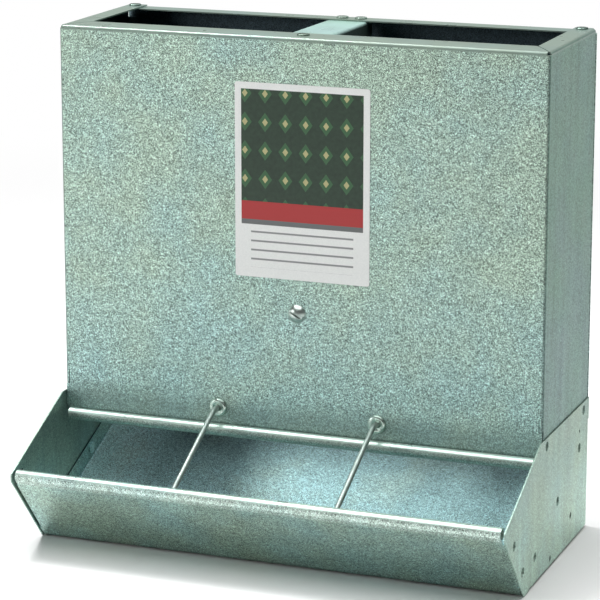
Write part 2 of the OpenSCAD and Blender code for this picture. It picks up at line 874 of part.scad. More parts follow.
// Outline of both wings, seen from the side, with the nut's axis upright
module wings_outline() {
    tip = [wing_reach - wing_r, nut_h + wing_r / 2];
    edge = wing_r * [cos(45), -sin(45)];
    root = [nut_d / 4, nut_h / 6];
    crown = [nut_d / 4, nut_h - root[1]];
    for (side = [0, 1]) mirror([side, 0]) {
        translate(tip) circle(wing_r);
        polygon([root, tip + edge, tip - edge, crown]);
    }
}

module wing_nut() {
    color(bright_zinc)
        translate([0, nut_y, screw_h])
            rotate([-90, 0, 0])
                difference() {
                    union() {
                        cylinder(r1 = nut_d / 2, r2 = nut_d / 2 - nut_taper, h = nut_h);
                        along_y(-wing_t / 2, wing_t / 2) wings_outline();
                    }
                    translate([0, 0, -past]) cylinder(r = screw_r + nut_gap, h = nut_h + wing_reach);
                }
}

// Printed label stuck on the front, with a generic design
module front_label() {
    x0 = label_x - label_w / 2 + label_r;
    z0 = label_foot + label_r;
    wide = label_w - 2 * label_r;
    tall = label_h - 2 * label_r;
    color(label_green)
        translate([x0, front_y - lap_gap, z0])
            rotate([90, 0, 0])
                linear_extrude(label_t) {
                    translate([-label_r, 0]) square([label_w, tall]);
                    translate([0, -label_r]) square([wide, label_h]);
                    for (x = [0, wide], z = [0, tall]) translate([x, z]) circle(label_r);
                }
}

hopper_shell();
hopper_back();
top_brace();
left_end_plate();
right_end_plate();
trough_pan();
left_divider_rod();
right_divider_rod();
left_rod_push_nut();
right_rod_push_nut();
left_rod_tail_nut();
right_rod_tail_nut();
feed_gate();
gate_screw();
gate_washer();
wing_nut();
front_label();
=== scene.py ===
"""Looks of a galvanised hopper feeder for young pigs, dressed over its CAD frame.

The frame is in metres, +Z up, with the trough to the front at -Y. Shapes here are worked out in millimetres.
"""

import math

import bmesh
import bpy
import numpy as np
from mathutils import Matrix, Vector


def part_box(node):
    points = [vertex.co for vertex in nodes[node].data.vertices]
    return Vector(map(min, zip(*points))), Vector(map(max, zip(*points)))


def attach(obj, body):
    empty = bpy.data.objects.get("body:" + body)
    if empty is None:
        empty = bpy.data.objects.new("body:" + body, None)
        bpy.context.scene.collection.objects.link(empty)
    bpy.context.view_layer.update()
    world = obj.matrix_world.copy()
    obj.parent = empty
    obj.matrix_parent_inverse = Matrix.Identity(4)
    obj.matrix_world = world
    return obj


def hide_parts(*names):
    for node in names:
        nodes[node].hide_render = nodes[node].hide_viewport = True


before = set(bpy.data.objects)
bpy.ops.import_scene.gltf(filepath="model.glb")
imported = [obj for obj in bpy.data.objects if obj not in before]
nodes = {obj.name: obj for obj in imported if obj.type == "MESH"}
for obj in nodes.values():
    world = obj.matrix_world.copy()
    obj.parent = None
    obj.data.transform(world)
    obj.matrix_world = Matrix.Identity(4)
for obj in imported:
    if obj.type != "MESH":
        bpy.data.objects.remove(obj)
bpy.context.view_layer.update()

MM = 0.001
SAME_POINT, SHORT_EDGE = 0.002 * MM, 0.001 * MM
SHARP_ANGLE = math.radians(35)

# Places and sizes shared with the solids, in millimetres
FRONT_Y = -12.5
LAP = 0.05
ROD_X, ROD_Z, ROD_R = 50.8333, 82.1461, 1.6
ROD_TAIL_Y, ROD_FOLD_Y, ROD_FOLD_R = -5.0, -19.5, 6.0
ROD_FOOT, ROD_REACH = np.array([-81.568, 50.376]), 3.35
PUSH_NUT_R, PUSH_NUT_H, PUSH_NUT_T = 5.85, 1.8, 0.5
TAIL_NUT_Y = -10.4
SCREW_Z, SCREW_R, SCREW_END_Y = 145.0, 3.0, 0.6
HEAD_R, HEAD_H = 5.75, 3.4
DRIVER_W, DRIVER_DEPTH, DRIVER_TURN = 1.5, 1.7, 27.0
WASHER_Y, WASHER_R, WASHER_T = -10.4, 8.0, 1.2
NUT_Y, NUT_R, NUT_H, NUT_TAPER = -8.9, 6.0, 6.5, 1.0
WING_T, WING_R, WING_TIP = 2.2, 4.0, np.array([11.5, 8.5])


# Meshes from arrays

def make_piece(name, grids, material, body):
    """Makes one smooth piece from grids, each an array of points in millimetres with its quads.

    Points that coincide, as at a pole or a seam, are merged, and the faces are turned outwards.
    """
    sizes = np.cumsum([0] + [len(points) for points, _ in grids])
    points = np.concatenate([points for points, _ in grids]) * MM
    faces = np.concatenate([quads + start for (_, quads), start in zip(grids, sizes)])
    mesh = bpy.data.meshes.new(name)
    mesh.from_pydata(points.tolist(), [], faces.tolist())
    shape = bmesh.new()
    shape.from_mesh(mesh)
    bmesh.ops.remove_doubles(shape, verts=shape.verts, dist=SAME_POINT)
    bmesh.ops.dissolve_degenerate(shape, edges=shape.edges, dist=SHORT_EDGE)
    bmesh.ops.recalc_face_normals(shape, faces=shape.faces)
    shape.to_mesh(mesh)
    shape.free()
    mesh.polygons.foreach_set("use_smooth", np.ones(len(mesh.polygons), bool))
    mesh.set_sharp_from_angle(angle=SHARP_ANGLE)
    mesh.materials.append(material)
    piece = bpy.data.objects.new(name, mesh)
    bpy.context.scene.collection.objects.link(piece)
    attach(piece, body)
    return piece


def grid(points, wrap_rows=False, wrap_columns=False):
    """An array of rows by columns points as a flat list of points and its quads, joined round where it wraps."""
    rows, columns = points.shape[:2]
    r = np.arange(rows if wrap_rows else rows - 1)
    c = np.arange(columns if wrap_columns else columns - 1)
    r, c = (a.ravel() for a in np.meshgrid(r, c, indexing="ij"))
    r1, c1 = (r + 1) % rows, (c + 1) % columns
    quads = np.stack([r * columns + c, r1 * columns + c, r1 * columns + c1, r * columns + c1], 1)
    return points.reshape(-1, 3), quads


def turned(profile, x, z, steps=72):
    """Closed profile of (radius, y) points turned about a line along Y through (x, z)."""
    t = np.linspace(0, 2 * np.pi, steps, endpoint=False)
    r, y = np.asarray(profile, float).T
    points = np.stack([x + np.outer(r, np.cos(t)), np.outer(y, np.ones(steps)), z + np.outer(r, np.sin(t))], 2)
    return grid(points, wrap_rows=True, wrap_columns=True)


def tube(path, radii, steps=32):
    """Round bar along a path in a plane of constant X: ring point at turn t is path + radius (cos t X + sin t B).

    B is square to X and to the path's direction at that ring.
    """
    along = np.gradient(path, axis=0)
    along /= np.linalg.norm(along, axis=1)[:, None]
    side = np.array([1.0, 0.0, 0.0])
    across = np.cross(along, side)
    t = np.linspace(0, 2 * np.pi, steps, endpoint=False)
    ring = np.cos(t)[None, :, None] * side + np.sin(t)[None, :, None] * across[:, None, :]
    return grid(path[:, None, :] + radii[:, None, None] * ring, wrap_columns=True)


def arc(centre, radius, start, stop, count):
    """Points round a circle in a plane, from one angle to another in degrees."""
    a = np.radians(np.linspace(start, stop, count))
    return np.asarray(centre, float) + radius * np.stack([np.cos(a), np.sin(a)], 1)


def line(start, stop, count):
    """Evenly spaced points along a straight line in a plane."""
    return np.linspace(0, 1, count)[:, None] * (np.asarray(stop) - start) + np.asarray(start, float)


def rounded_section(r0, r1, y0, y1, ease, steps=6):
    """Closed (radius, y) profile of a ring from r0 to r1 and y0 to y1, with its four edges eased."""
    corners = [((r1 - ease, y0 + ease), -90), ((r1 - ease, y1 - ease), 0), ((r0 + ease, y1 - ease), 90),
               ((r0 + ease, y0 + ease), 180)]
    return np.concatenate([arc(centre, ease, start, start + 90, steps) for centre, start in corners])


# Finishes

class Finish:
    """A material's node tree, with short calls for the nodes that the finishes share."""

    def __init__(self, name):
        self.material = bpy.data.materials.new(name)
        self.material.use_nodes = True
        self.tree = self.material.node_tree
        self.shader = self.tree.nodes["Principled BSDF"]

    def set(self, node, key, value):
        """Sets or links one input, named by its label with underscores, or by its number as n0, n1."""
        by_number = key[0] == "n" and key[1:].isdigit()
        socket = node.inputs[int(key[1:]) if by_number else key.replace("_", " ")]
        if isinstance(value, bpy.types.NodeSocket):
            self.tree.links.new(value, socket)
        else:
            socket.default_value = value

    def add(self, kind, **inputs):
        node = self.tree.nodes.new(kind)
        for key, value in inputs.items():
            self.set(node, key, value)
        return node

    def math(self, operation, a, b=0.0, c=0.0):
        node = self.add("ShaderNodeMath", n0=a, n1=b, n2=c)
        node.operation = operation
        return node.outputs[0]

    def place(self, stretch=(1, 1, 1)):
        """The piece's own place in millimetres, stretched along its axes."""
        coordinates = self.add("ShaderNodeTexCoord")
        mapping = self.add("ShaderNodeMapping", Vector=coordinates.outputs["Object"])
        mapping.inputs["Scale"].default_value = [s / MM for s in stretch]
        return mapping.outputs[0]

    def along(self, axis):
        """The piece's own place along one axis, in millimetres."""
        return self.add("ShaderNodeSeparateXYZ", Vector=self.place()).outputs["XYZ".index(axis)]

    def facing(self, axis):
        """How far the surface faces along an axis of its piece, from -1 to 1."""
        coordinates = self.add("ShaderNodeTexCoord")
        return self.add("ShaderNodeSeparateXYZ", Vector=coordinates.outputs["Normal"]).outputs["XYZ".index(axis)]

    def step(self, value, low, high):
        """0 below low and 1 above high, with a smooth change between them."""
        node = self.add("ShaderNodeMapRange", Value=value, From_Min=low, From_Max=high)
        node.interpolation_type = "SMOOTHSTEP"
        return node.outputs[0]

    def product(self, first, *others):
        for other in others:
            first = self.math("MULTIPLY", first, other)
        return first

    def noise(self, size, detail=2.0, roughness=0.5, stretch=(1, 1, 1)):
        """Soft noise from -0.5 to 0.5, with lumps about size millimetres across."""
        node = self.add("ShaderNodeTexNoise", Vector=self.place(stretch), Scale=1 / size, Detail=detail,
                        Roughness=roughness)
        return self.math("SUBTRACT", node.outputs[0], 0.5)

    def crystals(self, size):
        """A random grey from -0.5 to 0.5 for each crystal of about size millimetres, with wandering edges."""
        drift_scale, wander = 1.5, 2.0
        drift = self.add("ShaderNodeTexNoise", Vector=self.place(), Scale=drift_scale / size, Detail=2.0)
        centred = self.add("ShaderNodeVectorMath", n0=drift.outputs["Color"], n1=(0.5, 0.5, 0.5))
        centred.operation = "SUBTRACT"
        moved = self.add("ShaderNodeVectorMath", n0=self.place(), n1=self.scaled(centred.outputs[0], wander * size))
        voronoi = self.add("ShaderNodeTexVoronoi", Vector=moved.outputs[0], Scale=1 / size)
        grey = self.add("ShaderNodeSeparateColor", Color=voronoi.outputs["Color"])
        return self.math("SUBTRACT", grey.outputs[0], 0.5)

    def mix(self, factor, a, b):
        """Colour a where factor is 0, b where it is 1."""
        node = self.add("ShaderNodeMix", n0=factor)
        node.data_type = "RGBA"
        self.set(node, "n6", a)
        self.set(node, "n7", b)
        return node.outputs[2]

    def blend(self, factor, a, b):
        """Number a where factor is 0, b where it is 1."""
        return self.add("ShaderNodeMix", n0=factor, n2=a, n3=b).outputs[0]

    def only_on(self, mask, factor):
        """A factor where the mask is 1, and no change where it is 0."""
        return self.blend(mask, 1.0, factor)

    def without(self, mask):
        """The rest of the surface: 1 where the mask is 0."""
        return self.math("SUBTRACT", 1.0, mask)

    def scaled(self, colour, level):
        """A colour times a grey level."""
        node = self.add("ShaderNodeVectorMath", n0=colour)
        node.operation = "SCALE"
        self.set(node, "Scale", level)
        return node.outputs[0]

    def bump(self, height, distance, below=None):
        """Normal of a relief that is distance millimetres deep for a height of 1."""
        node = self.add("ShaderNodeBump", Height=height, Distance=distance * MM)
        if below is not None:
            self.set(node, "Normal", below)
        return node.outputs[0]

    def finish(self, **inputs):
        for key, value in inputs.items():
            self.set(self.shader, key, value)
        return self.material


GREEN_ZINC = (0.446, 0.588, 0.490, 1)
BLUE_ZINC = (0.390, 0.580, 0.560, 1)
SIDE_ZINC = (0.372, 0.605, 0.490, 1)
TROUGH_ZINC = (0.390, 0.630, 0.640, 1)
# Tint of the hopper's inside, which is painted dark as shade
INSIDE_SHADE_ZINC = (0.300, 0.430, 0.490, 1)
PALE_ZINC = (0.470, 0.590, 0.530, 1)
PLATED_ZINC = (0.52, 0.60, 0.56, 1), (0.40, 0.48, 0.45, 1)
SPRING_ZINC = (0.50, 0.62, 0.55, 1), (0.36, 0.48, 0.43, 1)

# Where a finish changes, in millimetres along one axis: the place where the change starts, and where it is complete
RIM_TOP = 307, 308.2
RIM_BUTTONS = 310.1, 310.4
BRACE_TOP = 306.4, 307.2
BELOW_RIM = 307.2, 306.4
INSIDE_OF_SIDES = 152.1, 151.9
INSIDE_OF_FRONT = -12.0, -11.8
INSIDE_OF_BACK = 87.9, 87.75
ABOVE_THROAT = 66, 76
BEAD_HEIGHT = 76, 74
BEAD_FRONT = -12.7, -13.4
FRONT_FOOT = 94, 78
FRONT_OUTSIDE = -12.2, -12.45
BLUER_DOWN = 250, 90
PRESS_MARKS = 153.25, 153.1
BEFORE_BACK_FLANGE = 85.5, 84.5
ABOVE_PLATE_FOOT = 2.2, 3.0
FLANGES_AND_CUPS = 152.5, 152.3
UP_THE_PLATES = 15, 75
LIP_FRONT = -79.5, -81
LIP_HEIGHT = 43.5, 45
FLANGE_EDGE = 151.72, 151.8
FLANGE_BUTTONS = 151.5, 151.3
TROUGH_LEFT_END = -95, -140
OUT_OF_THROAT = 56, 10
RIGHT_BAY = 40, 65
TROUGH_RIGHT_END = 105, 140

# Rise of the pan's floor for each millimetre back, and the height over that slope where a finish changes
FLOOR_SLOPE = 0.41421
ABOVE_PAN = 23.3, 24.3

# How squarely a face looks along an axis, from 0 to 1, where a finish starts to change and where it has changed
SQUARE_ON = 0.45, 0.75
SIDE_ON = 0.6, 0.8
CORNER_TURN = 0.2, 0.45
BEAD_CROWN = 0.2, 0.6
LIP_CROWN = 0.3, 0.65
UPWARD = 0.2, 0.5
OUTWARD = 0.1, 0.4
END_ON = 0.5, 0.8
NOT_END_ON = 0.5, 0.3


def hopper_inside(f):
    """1 on faces inside the hopper's walls below the rim, where the sheet is painted dark as shade."""
    x = f.math("ABSOLUTE", f.along("X"))
    y = f.along("Y")
    z = f.along("Z")
    return f.product(f.step(x, *INSIDE_OF_SIDES), f.step(y, *INSIDE_OF_FRONT), f.step(y, *INSIDE_OF_BACK),
                     f.step(z, *BELOW_RIM), f.step(z, *ABOVE_THROAT))


def sheet(f, tone, grain, streak, tint, blend, rough=0.48, metal=0.85, smooth=None, skin=0.6, cloud=0.16,
          crease_shade=0.25):
    """Hot-dip zinc on sheet: fine spangle, clouds of two tints, upright streaks, painted shade in creases, faint
    waves.

    tone, grain, streak and cloud may change over the piece. blend is the share of the second tint, and smooth is 1
    on edges that are rolled or folded, where the spangle is drawn out to a bright skin, skin being its Metallic.
    """
    fleck_size, crystal_size, run_size, mottle_size, cloud_size, wave_size = 0.47, 0.8, 6, 16, 40, 50
    fleck_gain, crystal_gain, bright_gain, cloud_gain = 3.3, 0.6, 0.35, 2.0
    upright, crease_reach, crease_samples = (1, 1, 0.07), 3.5, 8
    spangle_relief, wave_relief = 0.03, 0.8
    skin_rough, rough_spread = 0.30, 0.2
    if smooth is not None:
        grain = f.math("MULTIPLY", grain, f.without(smooth))
        rough, metal = f.blend(smooth, rough, skin_rough), f.blend(smooth, metal, skin)
    spangle = f.math("MULTIPLY_ADD", f.noise(fleck_size, detail=1.0), fleck_gain,
                     f.math("MULTIPLY", f.crystals(crystal_size), crystal_gain))
    spangle = f.math("MULTIPLY_ADD", f.math("MULTIPLY", spangle, spangle), bright_gain, spangle)
    mottle = f.noise(mottle_size, detail=3.0)
    runs = f.noise(run_size, detail=3.0, roughness=0.6, stretch=upright)
    level = f.math("MULTIPLY_ADD", spangle, grain, 1.0)
    level = f.math("MULTIPLY_ADD", mottle, cloud, level)
    level = f.math("MULTIPLY_ADD", runs, streak, level)
    # Painted shade: the colour is darkened where ambient occlusion finds creases and recesses close by.
    creases = f.add("ShaderNodeAmbientOcclusion", Distance=crease_reach * MM)
    creases.samples = crease_samples
    level = f.math("MULTIPLY", level, f.blend(creases.outputs["AO"], 1 - crease_shade, 1.0))
    clouds = f.math("MULTIPLY_ADD", f.noise(cloud_size, detail=3.0), cloud_gain, blend)
    colour = f.mix(clouds, *tint)
    wave = f.bump(f.noise(wave_size, detail=1.0), wave_relief)
    normal = f.bump(f.math("MULTIPLY", spangle, grain), spangle_relief, below=wave)
    return f.finish(Base_Color=f.scaled(colour, f.math("MULTIPLY", level, tone)), Normal=normal, Metallic=metal,
                    Roughness=f.math("MULTIPLY_ADD", mottle, rough_spread, rough))


def by_facing(f, axis, faced, edge):
    """One value where the sheet faces either way along an axis, another where it doesn't."""
    return f.blend(f.step(f.math("ABSOLUTE", f.facing(axis)), *SQUARE_ON), edge, faced)


def hopper_zinc(name, tone, grain, edge_tone, edge_grain):
    """Spangled front and back with plainer greener sides, the sides painted darker than the front and back as shade,
    painted shade inside, darker along the corners and above the bead.

    The rim and the top of the bead are drawn to a bright skin, the top of the bead also painted lighter as a
    highlight, and the joints' buttons on the rim stay dull.
    """
    inside_tone, corner_tone, button_tone, foot_tone = 0.4, 0.6, 0.75, 0.74
    rim_tone, crown_highlight = 0.50, 1.3
    inside_grain, foot_grain = 0.5, 0.6
    crown_skin, rim_skin = 0.6, 0.2
    plain_streak, side_streak = 0.10, 0.6
    plain_cloud, side_cloud = 0.16, 0.34
    top_share, added_share = 0.15, 0.45
    f = Finish(name)
    y, z = f.along("Y"), f.along("Z")
    button = f.step(z, *RIM_BUTTONS)
    rim = f.product(f.step(z, *RIM_TOP), f.without(button))
    bead = f.product(f.step(z, *BEAD_HEIGHT), f.step(y, *BEAD_FRONT))
    crown = f.product(bead, f.step(f.facing("Z"), *BEAD_CROWN))
    inside = hopper_inside(f)
    foot = f.product(f.step(z, *FRONT_FOOT), f.step(y, *FRONT_OUTSIDE))
    side = f.step(f.math("ABSOLUTE", f.facing("X")), *SIDE_ON)
    corner = f.product(f.step(f.math("ABSOLUTE", f.facing("X")), *CORNER_TURN),
                       f.step(f.math("ABSOLUTE", f.facing("Y")), *CORNER_TURN))
    # The sides are painted darker than the front and back as shade, by edge_tone, and the inside is painted dark as
    # shade.
    level = f.product(by_facing(f, "Y", tone, edge_tone), f.only_on(inside, inside_tone),
                      f.only_on(corner, corner_tone), f.only_on(button, button_tone), f.only_on(foot, foot_tone))
    # Painted highlight: the up-facing top of the bead is painted lighter.
    level = f.blend(crown, f.blend(rim, level, rim_tone), crown_highlight)
    green = f.mix(bead, f.mix(inside, f.mix(side, GREEN_ZINC, SIDE_ZINC), INSIDE_SHADE_ZINC), PALE_ZINC)
    blue = f.mix(inside, BLUE_ZINC, INSIDE_SHADE_ZINC)
    # Painted reflection: the sheet turns bluer downwards.
    share = f.math("MULTIPLY_ADD", f.step(z, *BLUER_DOWN), added_share, top_share)
    spangle = f.product(by_facing(f, "Y", grain, edge_grain), f.only_on(inside, inside_grain),
                        f.only_on(foot, foot_grain))
    return sheet(f, level, grain=spangle, streak=f.blend(side, plain_streak, side_streak), tint=(green, blue),
                 blend=f.blend(bead, share, 0.0), smooth=f.math("MAXIMUM", rim, crown),
                 skin=f.blend(rim, crown_skin, rim_skin), cloud=f.blend(side, plain_cloud, side_cloud))


def brace_zinc(name):
    """Strap across the mouth: pale drawn skin on top, spangled down its folded edges, which are painted dark as
    shade in the mouth.
    """
    edge_tone, top_tone = 0.36, 0.92
    f = Finish(name)
    z = f.along("Z")
    # Painted shade: the folded edges hanging into the mouth are darker than the top.
    level = f.blend(f.step(z, *BRACE_TOP), edge_tone, top_tone)
    return sheet(f, level, grain=0.5, streak=0.10, tint=(SIDE_ZINC, BLUE_ZINC), blend=0.6,
                 smooth=f.step(z, *RIM_TOP), skin=0.2)


def plate_zinc(name, tone):
    """End plates: soft spangle and upright streaks on the faces, duller cut edges, floors of the press marks painted
    dark as shade.

    The turned-in flanges and the joints' cups are painted paler as light, and the plates are painted darker upwards
    as shade.
    """
    edge_tone, press_mark_shade, inner_light, upper_shade = 0.95, 0.38, 1.25, 0.70
    f = Finish(name)
    x = f.along("X")
    outward = f.math("MULTIPLY", f.facing("X"), f.math("SIGN", x))
    pressed = f.product(f.step(f.math("ABSOLUTE", x), *PRESS_MARKS), f.step(outward, *OUTWARD),
                        f.step(f.along("Y"), *BEFORE_BACK_FLANGE), f.step(f.along("Z"), *ABOVE_PLATE_FOOT))
    # Painted shade in the press marks' floors, painted light on the flanges and cups, and painted shade up the
    # plates.
    level = f.product(by_facing(f, "X", tone, tone * edge_tone), f.only_on(pressed, press_mark_shade),
                      f.only_on(f.step(f.math("ABSOLUTE", x), *FLANGES_AND_CUPS), inner_light),
                      f.only_on(f.step(f.along("Z"), *UP_THE_PLATES), upper_shade))
    return sheet(f, level, grain=0.6, streak=0.5, tint=(GREEN_ZINC, BLUE_ZINC), blend=0.25, cloud=0.3, crease_shade=0.45)


def trough_zinc(name):
    """Trough pan: blue-green floor with painted light and shade, paler at the throat and darker deep in the hopper,
    a front panel painted darker as shade, and a lip whose crown is painted lighter as a highlight.

    The flanges' cut edges are painted dark as a shadow gap, and the joints' buttons on them are painted pale as
    light.
    """
    panel_shade, panel_left_light, floor_left_light = 0.78, 0.88, 1.4
    deep_floor_shade, left_bays_tone, right_bay_tone, right_end_light = 0.46, 0.9, 0.76, 1.6
    lip_tone, crown_highlight, cut_edge_shade, button_tone = 1.0, 1.25, 0.12, 1.5
    panel_share, floor_share, panel_metal, floor_metal = 0.3, 1.0, 0.9, 0.65
    f = Finish(name)
    x, y, z = f.along("X"), f.along("Y"), f.along("Z")
    end = f.math("ABSOLUTE", x)
    sideways = f.math("ABSOLUTE", f.facing("X"))
    upward = f.step(f.facing("Z"), *UPWARD)
    lip = f.product(f.step(y, *LIP_FRONT), f.step(z, *LIP_HEIGHT))
    crown = f.product(lip, f.step(f.facing("Z"), *LIP_CROWN))
    cut_edge = f.product(f.step(end, *FLANGE_EDGE), f.step(sideways, *NOT_END_ON))
    above_floor = f.math("MULTIPLY_ADD", y, -FLOOR_SLOPE, z)
    button = f.product(f.step(end, *FLANGE_BUTTONS), f.step(sideways, *END_ON), f.step(above_floor, *ABOVE_PAN))
    left_end = f.step(x, *TROUGH_LEFT_END)
    # Painted light and shade on the floor: darker deep in the hopper, darker in the right bay, and lighter at the
    # right end where the hopper's side casts shade.
    painted_floor_light = f.product(f.blend(f.step(y, *OUT_OF_THROAT), deep_floor_shade, 1.0),
                       f.blend(f.step(x, *RIGHT_BAY), left_bays_tone, right_bay_tone),
                       f.only_on(f.step(x, *TROUGH_RIGHT_END), right_end_light))
    # Painted shade: the down-facing front panel is darker than the floor. Painted light: the left ends of panel and
    # floor are lighter.
    tone = f.blend(upward, f.blend(left_end, panel_shade, panel_left_light),
                   f.blend(left_end, painted_floor_light, floor_left_light))
    # Painted highlight: the up-facing crown of the lip is painted lighter.
    tone = f.blend(crown, f.blend(lip, tone, lip_tone), crown_highlight)
    # Painted shade along the flanges' cut edges as a shadow gap, and painted light on the joints' buttons.
    tone = f.blend(button, f.blend(cut_edge, tone, cut_edge_shade), button_tone)
    share = f.math("MULTIPLY", f.blend(upward, panel_share, floor_share), f.without(lip))
    tint = f.mix(lip, GREEN_ZINC, PALE_ZINC), TROUGH_ZINC
    return sheet(f, tone, grain=1.2, streak=0.2, tint=tint, blend=share, rough=0.42,
                 metal=f.blend(upward, panel_metal, floor_metal), smooth=crown, cloud=0.45, crease_shade=0.4)


def bright_zinc(name, stretch=(1, 1, 1), rough=0.28, tone=1.0, tint=PLATED_ZINC):
    """Electroplated zinc: bright grey with fine lines along the piece and dull handled patches of a second tint."""
    line_size, line_gain, line_relief = 0.5, 0.35, 0.02
    patch_size, patch_edge, patch_rough = 5, (-0.1, 0.2), 0.12
    f = Finish(name)
    lines = f.noise(line_size, roughness=0.6, stretch=stretch)
    dull = f.step(f.noise(patch_size), *patch_edge)
    colour = f.mix(dull, *tint)
    colour = f.scaled(colour, f.math("MULTIPLY_ADD", lines, line_gain * tone, tone))
    roughness = f.math("MULTIPLY_ADD", dull, patch_rough, rough)
    return f.finish(Base_Color=colour, Roughness=roughness, Normal=f.bump(lines, line_relief), Metallic=0.85)


def printed_label(name):
    """Printed film: white border, green field of lozenges, red band and a white panel with grey rules.

    The design is laid out in millimetres across and up from the label's lower left corner.
    """
    paper_inks = (0.68, 0.70, 0.69, 1), (0.84, 0.85, 0.83, 1)
    leaf_inks = (0.006, 0.016, 0.010, 1), (0.025, 0.060, 0.032, 1)
    lozenge_ink, heart_ink = (0.035, 0.110, 0.045, 1), (0.42, 0.40, 0.20, 1)
    band_ink, shade_ink, rule_ink = (0.38, 0.028, 0.028, 1), (0.13, 0.14, 0.14, 1), (0.24, 0.25, 0.25, 1)
    border, panel_top, band_top, shade = 4, 35, 46, 3
    lozenge_wide, lozenge_tall, lozenge_reach, heart_reach = 12.75, 17, 0.34, 0.14
    rule_pitch, rule_start, rule_inset, rules_foot, rules_top = 5.5, 0.40, 10, 6, 29
    paper_grain, leaf_grain, film_wave, film_relief = 0.6, 2.5, 30, 0.1
    low, high = (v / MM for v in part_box("front_label"))
    wide, tall = high.x - low.x, high.z - low.z
    f = Finish(name)
    across = f.math("SUBTRACT", f.along("X"), low.x)
    up = f.math("SUBTRACT", f.along("Z"), low.z)

    def between(value, start, stop):
        return f.math("MULTIPLY", f.math("GREATER_THAN", value, start), f.math("LESS_THAN", value, stop))

    def panel(left, right, foot, top):
        return f.math("MULTIPLY", between(across, left, right), between(up, foot, top))

    def from_middle(value, pitch):
        """Distance from the middle of a repeat of that pitch, as a share of it from 0 to 0.5."""
        return f.math("ABSOLUTE", f.math("SUBTRACT", f.math("FRACT", f.math("DIVIDE", value, pitch)), 0.5))

    paper = f.mix(f.math("ADD", f.noise(paper_grain, detail=1.0), 0.5), *paper_inks)
    lozenge = f.math("ADD", from_middle(across, lozenge_wide), from_middle(up, lozenge_tall))
    leaf = f.mix(f.math("ADD", f.noise(leaf_grain, detail=3.0), 0.5), *leaf_inks)
    field = f.mix(f.math("LESS_THAN", lozenge, lozenge_reach), leaf, lozenge_ink)
    field = f.mix(f.math("LESS_THAN", lozenge, heart_reach), field, heart_ink)
    colour = f.mix(panel(border, wide - border, panel_top, tall - border), paper, field)
    colour = f.mix(panel(border, wide - border, panel_top, band_top), colour, band_ink)
    colour = f.mix(panel(border, wide - border, panel_top - shade, panel_top), colour, shade_ink)
    rule = f.math("GREATER_THAN", from_middle(up, rule_pitch), rule_start)
    rules = panel(rule_inset, wide - rule_inset, rules_foot, rules_top)
    colour = f.mix(f.math("MULTIPLY", rule, rules), colour, rule_ink)
    return f.finish(Base_Color=colour, Roughness=0.38, Normal=f.bump(f.noise(film_wave, detail=1.0), film_relief))


ROD_ZINC = bright_zinc("rod_zinc", stretch=(4, 0.1, 0.1), rough=0.36, tone=0.85)
NUT_ZINC = bright_zinc("nut_zinc")
PUSH_NUT_ZINC = bright_zinc("push_nut_zinc", rough=0.24, tint=SPRING_ZINC)
FINISHES = {
    "hopper_shell": hopper_zinc("spangled_hopper_zinc", tone=0.80, grain=1.3, edge_tone=0.53, edge_grain=0.7),
    "hopper_back": hopper_zinc("hopper_back_zinc", tone=0.92, grain=1.4, edge_tone=0.8, edge_grain=0.5),
    "top_brace": brace_zinc("brace_zinc"),
    "left_end_plate": plate_zinc("left_plate_zinc", tone=0.95),
    "right_end_plate": plate_zinc("right_plate_zinc", tone=1.08),
    "trough_pan": trough_zinc("trough_zinc"),
    "feed_gate": hopper_zinc("gate_zinc", tone=0.92, grain=1.4, edge_tone=0.8, edge_grain=0.5),
    "front_label": printed_label("label_print"),
}
for node in nodes.values():
    node.data.materials.clear()
    node.data.materials.append(FINISHES.get(node.name, NUT_ZINC))


# Wire, nuts and screw

def divider_rod(side):
    """Wire rod: straight out of the front, a smooth fold, then straight down into the rolled lip.

    A round section is carried along a line, an arc that touches both lines, and the second line. Its radius eases
    off at both ends, and closes to 0 in the middle of a flat cap, a hair further out so that the path keeps its way.
    """
    ease, hair = 0.35, 1e-4
    fold = np.array([ROD_FOLD_Y, ROD_Z])
    run = (ROD_FOOT - fold) / np.linalg.norm(ROD_FOOT - fold)
    drop = math.degrees(math.atan2(-run[1], -run[0]))
    trim = ROD_FOLD_R * math.tan(math.radians(drop) / 2)
    bend = arc((ROD_FOLD_Y + trim, ROD_Z - ROD_FOLD_R), ROD_FOLD_R, 90, 90 + drop, 17)
    tail = [ROD_TAIL_Y, ROD_Z]
    foot = ROD_FOOT + run * ROD_REACH
    yz = np.concatenate([[tail, tail], line([ROD_TAIL_Y - ease, ROD_Z], bend[0], 8)[:-1], bend,
                         line(bend[-1], foot - run * ease, 24)[1:], [foot, foot]])
    yz[0, 0] += hair
    yz[-1] += run * hair
    radii = np.full(len(yz), ROD_R)
    radii[[0, -1]] = 0
    radii[[1, -2]] = ROD_R - ease
    path = np.column_stack([np.full(len(yz), side * ROD_X), yz])
    return [tube(path, radii)]


def push_nut_profile():
    """(radius, height) of a spring nut: face dished towards the bore, round shoulder, short wall, hollow under it.

    The dish sinks by the square of the way in from the shoulder, and the shoulder is a quarter of a circle.
    """
    bore, shoulder, dish, draft = ROD_R + LAP, 1.7, 0.7, 0.05
    edge = PUSH_NUT_R - shoulder
    out = np.linspace(bore, edge, 18)
    share = (out - bore) / (edge - bore)
    face = np.column_stack([out, PUSH_NUT_H - dish * (1 - share) ** 2])
    turn = arc((edge, PUSH_NUT_H - shoulder), shoulder, 90, 0, 12)[1:]
    under = np.array([[PUSH_NUT_R - draft, 0], [PUSH_NUT_R - PUSH_NUT_T, 0], [edge, PUSH_NUT_H - PUSH_NUT_T],
                      [bore, PUSH_NUT_H - dish - PUSH_NUT_T]])
    return np.concatenate([face, turn, under])


def push_nut(side, face_y, outward):
    """Push nut round a rod, its profile turned about the rod, sitting on a face and doming outwards along Y."""
    profile = push_nut_profile()
    profile[:, 1] = face_y + outward * profile[:, 1]
    return [turned(profile, side * ROD_X, ROD_Z)]


